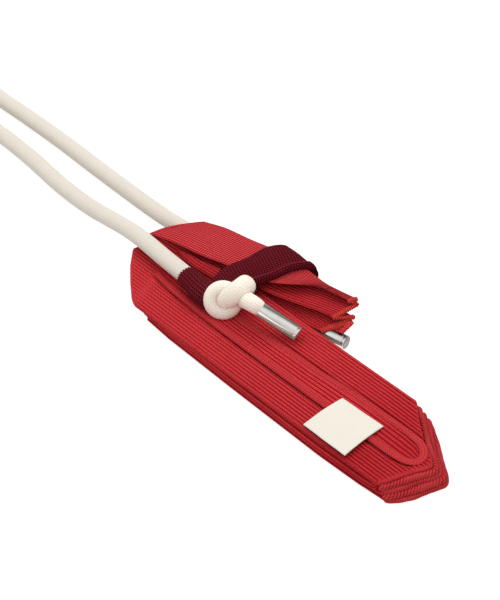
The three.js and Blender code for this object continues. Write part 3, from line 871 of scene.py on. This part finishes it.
# Far and near folds in turn from the top, at places from under the band to the mouth's edge
mouth_stations = [
    [(-14, 50, 20), (-22, 28, 16.8), (-16, 50, 15.5), (-22, 28, 13.6),
     (-16, 46, 13), (-22, 28, 9.6), (-16, 45, 10), (-22, 33, 8)],
    [(-6, 53.6, 20.8), (-13.5, 32, 17.9), (-6, 52, 14.8), (-15.5, 28.4, 13.2),
     (-8, 46, 12.2), (-15.5, 28.4, 8.6), (-8, 45.5, 9.8), (-13, 34, 8)],
    [(2.5, 52.8, 21.6), (-3.6, 37.2, 20), (5, 53, 15.2), (-4, 30.4, 13.8),
     (3, 46, 12), (-5, 29.4, 8.3), (4, 46.5, 10), (-1, 35, 8.5)],
    [(12.5, 52.6, 21.4), (8.6, 48, 19.9), (14, 55.5, 14.8), (11.5, 35, 14.2),
     (14, 49, 12.4), (12, 29.4, 8.2), (15, 47.5, 10.4), (13, 36, 9.1)],
    [(22, 54.9, 20.4), (19.6, 51.2, 19.3), (24.5, 57.5, 15), (22.5, 38.8, 14.2),
     (26, 51.5, 12), (21.5, 29.8, 8.2), (26.5, 48.8, 10.3), (26, 37, 9.1)],
    [(31.6, 57.8, 19.3), (29.1, 53.2, 18.7), (32.6, 57.2, 16.4), (29.3, 40.2, 14),
     (34.8, 52.6, 11), (27.8, 31.2, 8.3), (36.2, 49.4, 9.8), (37.6, 38.2, 9.1)],
]
PLEAT_STEPS = 80
MOUTH_ROWS = 70
EDGE_STITCH = 1.5
mouth_lines = [pleated(station[::-1], PLEAT_STEPS) for station in mouth_stations]
mouth_grid = np.stack([spline(points, MOUTH_ROWS) for points in zip(*mouth_lines)], 1)
across = arc_length(mouth_grid, 1)[-1]
mouth_u = np.broadcast_to(across / MOUTH_KNIT[0], mouth_grid.shape[:2])
mouth_uv = np.stack([mouth_u, arc_length(mouth_grid, 0) / MOUTH_KNIT[1]], -1)
mouth_skin = ribbed(mouth_grid, mouth_u, 0.6)

# Stitches notch the cloth's end, and its grooves get painted shade, darker towards the band
row = np.arange(MOUTH_ROWS)[:, None]
notch = soft_step((row - MOUTH_ROWS + 5) / 4) * np.abs(np.sin(np.pi * across / EDGE_STITCH))
mouth_skin[..., 0] += 0.9 * notch
mouth_groove_shade = 1 + 1.2 * (1 - soft_step((row - 12) / 32))

# All but the uppermost facet, which shows the back of the knit
top_pleat = (len(mouth_stations[0]) - 2) * PLEAT_STEPS
lower = np.s_[:, :top_pleat + 1]
mouth = add_piece(
    "mouth_pleats", [(mouth_skin[lower], mouth_uv[lower], mouth_groove_shade)], red_painted_shade)
top_grid = mouth_grid[:, top_pleat:]
top_uv = knit_uv(top_grid, *MOUTH_TOP_KNIT)
mouth_top = add_piece("mouth_top", [(top_grid, top_uv, 1.0)], red_purl, thick=0.9)

# Overlocked edge round the mouth
edge_line = even(mouth_grid[-1], 560)
edge_skin = corded(edge_line, 1.2, 1.6, EDGE_STITCH, 1.2, 0.5, 14, up=(1, 0, 0))
mouth_edge = add_piece("mouth_edge", [edge_skin], red_edge)


# The dark band over the neck, with its rolled edge, and the two sleeves

# The band's edges on the fold's side and on the mouth's, from the near sleeve over and round
band_lines = [
    ((-39, 5, 18.2), (-24, 8, 18.2)), ((-37.2, 11.2, 20), (-23.5, 15, 19.5)),
    ((-38.1, 18.3, 21.5), (-23.4, 21, 20.2)), ((-36.7, 24, 22.5), (-21.2, 25.4, 20.4)),
    ((-33.3, 33.5, 23.8), (-17.0, 34.2, 21.6)), ((-31.7, 47.1, 24.8), (-13.2, 46, 23.6)),
    ((-26.8, 54.4, 25.5), (-7.6, 53.2, 24.8)), ((-23.9, 56.4, 25.2), (-5.4, 56, 24.3)),
    ((-23, 58, 21), (-4.8, 57.5, 20.5)), ((-23, 57, 14), (-4.8, 56.5, 14)),
    ((-24, 48, 9), (-7, 48, 9)),
]

# Steps off the mouth's side over its rolled edge, and off the fold's side where it turns under
BAND_ROLL = [
    (-0.6, 0.8, -5.4), (2.2, 1.2, -4.9), (3.7, 1.2, -3.2), (3.7, 1.0, -1.2), (2.5, 0.6, 0.5),
    (1.1, 0.3, 0.7), (0.1, 0, -0.3), (-0.8, 0, 0), (-1.6, 0, 0.1)]
BAND_TURN = [(0.5, 0, 0), (0, 0, 0), (0.3, 0.2, -1.0), (1.0, 0.3, -2.0)]
band_rows = []
for left, right in band_lines:
    crown = np.add(left, right) / 2 + (0, 0, 0.6)
    rolled = [np.add(right, step) for step in BAND_ROLL]
    band_rows.append(rolled + [crown] + [np.add(left, step) for step in BAND_TURN])
band_grid = sheet_from_rows(band_rows, 90, 110)
band_uv = knit_uv(band_grid, *BAND_KNIT)
band = add_piece(
    "band", [(band_grid, band_uv, 1.0)], burgundy_purl, ["neck_band"], thick=0.5)
seam_line = spline([np.add(right, (0.9, 0.2, 0.6)) for _, right in band_lines[1:9]], 260)
seam_skin = corded(seam_line, 0.6, 0.4, 1.25, 1.0, 0.2, 12)
band_seam = add_piece("band_seam", [seam_skin], burgundy_seam)

SLEEVE_STEPS = 60


def sleeve(points, wide, high):
    """A knit sleeve round a strap end, its ribs ending in a zigzag."""
    line = spline(points, SLEEVE_STEPS)
    t = np.linspace(0, 1, SLEEVE_STEPS)
    spread = np.linspace(0, 1, len(wide))
    wide, high = (np.interp(t, spread, sizes) for sizes in (wide, high))
    p, uv, rib = ribbed_tube(line, wide, high, 20, 1.75, 0.4, 6)
    p[0, :, 0] -= 0.8 * np.abs(np.cos(np.pi * uv[0, :, 0]))
    return p, uv, rib


near_sleeve = sleeve(
    [(-51.6, 2.9, 17.0), (-46, 2.5, 16.8), (-39, 1.5, 16.3), (-26, 1.5, 15.8)],
    (6.4, 7.4, 8.2, 8.2), (5.4, 5.9, 6.3, 6.3))
far_sleeve = sleeve([(-39.5, 37, 5.9), (-30, 37, 5.7), (-18, 37, 5.6)], (6.4, 6.6), (5.2, 5.2))
sleeves = add_piece("sleeves", [near_sleeve, far_sleeve], burgundy_rib)


# The knots: a ring, a strand over it, a tail that runs into the tip and the strap coming in,
# the strand and both ends in the knot's own axes

RING_RADIUS = 6.4
KNOT_OVER = [
    (-0.5, -1.8, -3.5), (0.9, -0.6, 0.6), (3.0, 0.9, 4.2), (6.4, 3.4, 6.6), (9.6, 5.9, 6.8),
    (12.2, 7.9, 4.6), (13.2, 8.7, 0.8), (12.8, 8.4, -4)]
KNOT_TAIL = [(4.5, 1, -2), (9.5, 1, 0)]
KNOT_INLET = [(-5.5, 0, -1.5), (-2, 4, -2)]

# Length and depth of the yarn's stitches, and steps across one
KNOT_STITCH = (1.0, 0.12, 4)


def knot(centre, axes, squash, tip_start, tip_axis, inlet):
    """Grids of one overhand knot, whose ring lies in the plane of the first two axes."""
    right, rise, out = (np.array(axis, float) for axis in axes)
    centre, tip_start = np.array(centre, float), np.array(tip_start, float)
    tip_axis = np.array(tip_axis, float) / np.linalg.norm(tip_axis)

    def local(points):
        q = np.asarray(points, float) * (1, 1, squash)
        return centre + q[:, :1] * right + q[:, 1:2] * rise + q[:, 2:] * out

    angle = np.linspace(0, 2 * np.pi, 97)
    flat = squash**0.5
    round_x, round_y = RING_RADIUS * np.cos(angle), RING_RADIUS * np.sin(angle)
    ring = local(np.stack([round_x, round_y, np.sin(angle + 0.6)], 1))
    over = spline(local(KNOT_OVER), 70)
    into_tip = [tip_start - 4.5 * tip_axis, tip_start + 3 * tip_axis]
    tail = spline(np.concatenate([local(KNOT_TAIL), into_tip]), 40)
    entry = spline(np.concatenate([[inlet], local(KNOT_INLET)]), 30)
    swell = np.interp(np.linspace(0, 1, 70), [0, 0.2, 0.5, 0.85, 1], [5.3, 5.8, 6.1, 6.0, 5.0])
    narrow = np.interp(np.linspace(0, 1, 40), [0, 0.4, 0.7, 0.86, 1], [5.0, 5.0, 4.9, 4.6, 3.6])
    return [
        ribbed_tube(ring, 4.75, 4.75 * flat, 20, *KNOT_STITCH, out),
        ribbed_tube(over, swell, 4.8 * flat, 22, *KNOT_STITCH, out),
        ribbed_tube(tail, narrow, narrow * flat, 18, *KNOT_STITCH, out),
        ribbed_tube(entry, 4.8, 3.6, 18, *KNOT_STITCH, out),
    ]


# Where each tip starts, and its direction
NEAR_TIP = ((2.5, 8.8, 23.7), (0.884, 0.305, -0.355))
FAR_TIP = ((16.4, 34.2, 4.25), (0.983, 0.184, 0))
near_knot = add_piece("near_knot_yarn", knot(
    (-20.1, 2.3, 18.9), [(0.689, 0.725, 0), (-0.485, 0.4605, 0.7436), (0.539, -0.512, 0.6686)], 1.0,
    *NEAR_TIP, (-34, 1.8, 16)), cream_knot_painted_light, ["near_knot"])
far_knot = add_piece("far_knot_yarn", knot(
    (-4.63, 41.3, 4.9), [(0.955, 0.296, 0), (-0.296, 0.955, 0), (0, 0, 1)], 0.62,
    *FAR_TIP, (-21, 37, 5.5)), cream_knot_painted_light, ["far_knot"])


# The metal tips: drawn cups with a turned rim line near the closed end

TIP_LONG = 26
TIP_RADIUS = 4.2
TIP_SIDES = 64

# The last points of the profile, which are the closed end, how bright that is painted, and how
# much painted shade darkens the far tip on the side under the mouth's pleats
CAP_POINTS = 3
CAP_PAINTED_BRIGHTNESS = 0.2
FAR_TIP_PAINTED_SHADE = 0.75


def tip(start, axis, painted_shade_share=0.0):
    """One tip, with painted shade by a share on the side that lies under the mouth's pleats."""
    axis = np.array(axis, float) / np.linalg.norm(axis)
    long, radius = TIP_LONG, TIP_RADIUS
    profile = np.array([
        (4, 3.3), (0.3, 3.35), (0, radius - 0.5), (0, radius - 0.2), (0.2, radius),
        (0.5 * long, radius), (long - 1.8, radius), (long - 1.65, radius - 0.14),
        (long - 1.5, radius - 0.14), (long - 1.35, radius), (long - 0.6, radius - 0.02),
        (long - 0.2, radius - 0.15), (long, radius - 0.4), (long - 0.1, radius - 0.55),
        (long - 0.4, radius - 0.7), (long - 0.6, 0.01)])
    side = np.cross(UP, axis)
    side /= np.linalg.norm(side)
    top = np.cross(axis, side)
    angle = np.linspace(-np.pi, np.pi, TIP_SIDES + 1)
    ring = np.sin(angle)[:, None] * side + np.cos(angle)[:, None] * top
    p = np.array(start) + profile[:, :1, None] * axis + profile[:, 1:, None] * ring[None]
    uv = np.stack(np.meshgrid(np.linspace(0, 1, TIP_SIDES + 1), profile[:, 0] / 10), -1)
    bright = np.ones(len(profile))
    # Painted shade on the closed end
    bright[-CAP_POINTS:] = CAP_PAINTED_BRIGHTNESS
    # Painted shade on the side under the mouth's pleats
    under = soft_step((angle + 0.55) / 0.5) * soft_step((1.9 - angle) / 0.4)
    return p, uv, bright[:, None] * (1 - painted_shade_share * under)


near_tip = add_piece(
    "near_tip_metal", [tip(*NEAR_TIP)], bright_metal, ["near_tip"])
far_tip = add_piece(
    "far_tip_metal", [tip(*FAR_TIP, FAR_TIP_PAINTED_SHADE)], bright_metal, ["far_tip"])


# The sewn label, lying across the near ridge of the pleat and dipping into the panel behind it
LABEL_STEPS = 40
s, t = np.meshgrid(*[np.linspace(0, 1, LABEL_STEPS)] * 2, indexing="ij")
s, t = s[..., None], t[..., None]
near_left, near_right = np.array((75, -28.2, 11.3)), np.array((106.6, -29.2, 12.6))
far_left, far_right = np.array((75, 1.5, 10.6)), np.array((105.1, 1.8, 11.1))
label_grid = (near_left * (1 - s) + near_right * s) * (1 - t)
label_grid = label_grid + (far_left * (1 - s) + far_right * s) * t
label_grid[..., 2:] += 0.95 * np.sin(np.pi * t) ** 1.3 + 0.1 * np.sin(9 * s) * np.cos(6 * t)
label_uv = knit_uv(label_grid, *LABEL_THREAD)
label = add_piece(
    "label", [(label_grid, label_uv, 1.0)], label_weave, ["sewn_label"], thick=0.45)


# Stage: white floor, soft light and the photograph's camera

# The floor: half its size and its place in metres, its own glow and grey where it is seen, and
# the grey that it lights the object with
FLOOR_HALF = 6.0
FLOOR_LEVEL = -0.0003
FLOOR_GLOW = 0.85
FLOOR_SEEN = 0.3
FLOOR_BOUNCE = 0.75

SKY = 0.8

# Lights: name, place and size in metres, and power in watts
LIGHTS = [("key", (-0.3, 0.31, 0.78), 0.85, 4.3), ("fill", (0.0, -0.75, 0.9), 0.7, 1.25)]

# The camera: focal length, sensor width, place and target in millimetres, and near clip in metres
CAMERA_LENS = 108.45
CAMERA_SENSOR = 36.0
CAMERA_PLACE = (539.86, -508.69, 700.34)
CAMERA_TARGET = (-24.92, 27.88, 0.0)
CAMERA_CLIP = 0.05

# Light and dark parts of the room, from back to front, that polished metal shows as streaks
STREAK_AXIS = (0.725, -0.689, 0.0)
STREAKS = [
    (0.0, 0.36), (0.06, 0.24), (0.15, 0.17), (0.26, 0.22), (0.38, 0.62), (0.54, 0.85),
    (0.68, 0.86), (0.82, 0.78), (0.92, 0.64), (0.97, 0.7), (1.0, 0.86)]


def stage():
    """A floor that is white where it is seen, and bounces softer light."""
    mesh = bpy.data.meshes.new("floor")
    size = FLOOR_HALF
    corners = [(-size, -size, 0), (size, -size, 0), (size, size, 0), (-size, size, 0)]
    mesh.from_pydata(corners, [], [(0, 1, 2, 3)])
    floor = bpy.data.objects.new("floor", mesh)
    floor.location.z = FLOOR_LEVEL
    bpy.context.scene.collection.objects.link(floor)
    nodes = Nodes(bpy.data.materials.new("white_floor"))
    path = nodes.new("LightPath")
    seen = nodes.math("MAXIMUM", path.outputs["Is Camera Ray"], path.outputs["Is Glossy Ray"])
    seen = nodes.math("MAXIMUM", seen, path.outputs["Is Transmission Ray"])
    grey = nodes.mix(seen, rgba((FLOOR_BOUNCE,) * 3), rgba((FLOOR_SEEN,) * 3))
    nodes.surface(grey, 1.0, 0.0)
    nodes.shader.inputs["Emission Color"].default_value = rgba((1, 1, 1))
    nodes.link(nodes.math("MULTIPLY", seen, FLOOR_GLOW), nodes.shader.inputs["Emission Strength"])
    mesh.materials.append(nodes.owner)


def studio():
    """Even white light, with darker parts that only polished metal shows."""
    world = bpy.data.worlds.new("studio")
    bpy.context.scene.world = world
    nodes = Nodes(world)
    background = nodes.tree.nodes["Background"]
    background.inputs["Color"].default_value = rgba((1, 1, 1))
    path = nodes.new("LightPath")
    toward = nodes.new("VectorMath")
    toward.operation = "DOT_PRODUCT"
    nodes.link(nodes.new("TexCoord").outputs["Generated"], toward.inputs[0])
    toward.inputs[1].default_value = STREAK_AXIS
    bands = nodes.new("ValToRGB")
    for position, _ in STREAKS[1:-1]:
        bands.color_ramp.elements.new(position)
    for element, (position, value) in zip(bands.color_ramp.elements, STREAKS):
        element.position = position
        element.color = rgba((value,) * 3)
    nodes.link(nodes.math("MULTIPLY_ADD", toward.outputs["Value"], 0.5, 0.5), bands.inputs[0])
    unseen = nodes.blend(path.outputs["Is Glossy Ray"], SKY, bands.outputs[0])
    strength = nodes.blend(path.outputs["Is Camera Ray"], unseen, 1.0)
    nodes.link(strength, background.inputs["Strength"])


def aim(thing, position, target):
    """Puts a lamp or a camera in its place and turns it to a target."""
    thing.location = position
    toward = Vector(target) - Vector(position)
    thing.rotation_euler = toward.to_track_quat("-Z", "Y").to_euler()
    bpy.context.scene.collection.objects.link(thing)


def area_light(name, position, size, power):
    """A round light that faces the origin, and isn't seen in metal."""
    data = bpy.data.lights.new(name, "AREA")
    data.shape = "DISK"
    data.size = size
    data.energy = power
    lamp = bpy.data.objects.new(name, data)
    lamp.visible_glossy = False
    aim(lamp, position, (0, 0, 0))


def photo_camera():
    """The camera that was fitted to the photograph."""
    data = bpy.data.cameras.new("photo_camera")
    data.lens = CAMERA_LENS
    data.sensor_width = CAMERA_SENSOR
    data.clip_start = CAMERA_CLIP
    camera = bpy.data.objects.new("photo_camera", data)
    aim(camera, place(CAMERA_PLACE), place(CAMERA_TARGET))
    bpy.context.scene.camera = camera


stage()
studio()
for light in LIGHTS:
    area_light(*light)
photo_camera()
bpy.context.scene.view_settings.view_transform = "Standard"
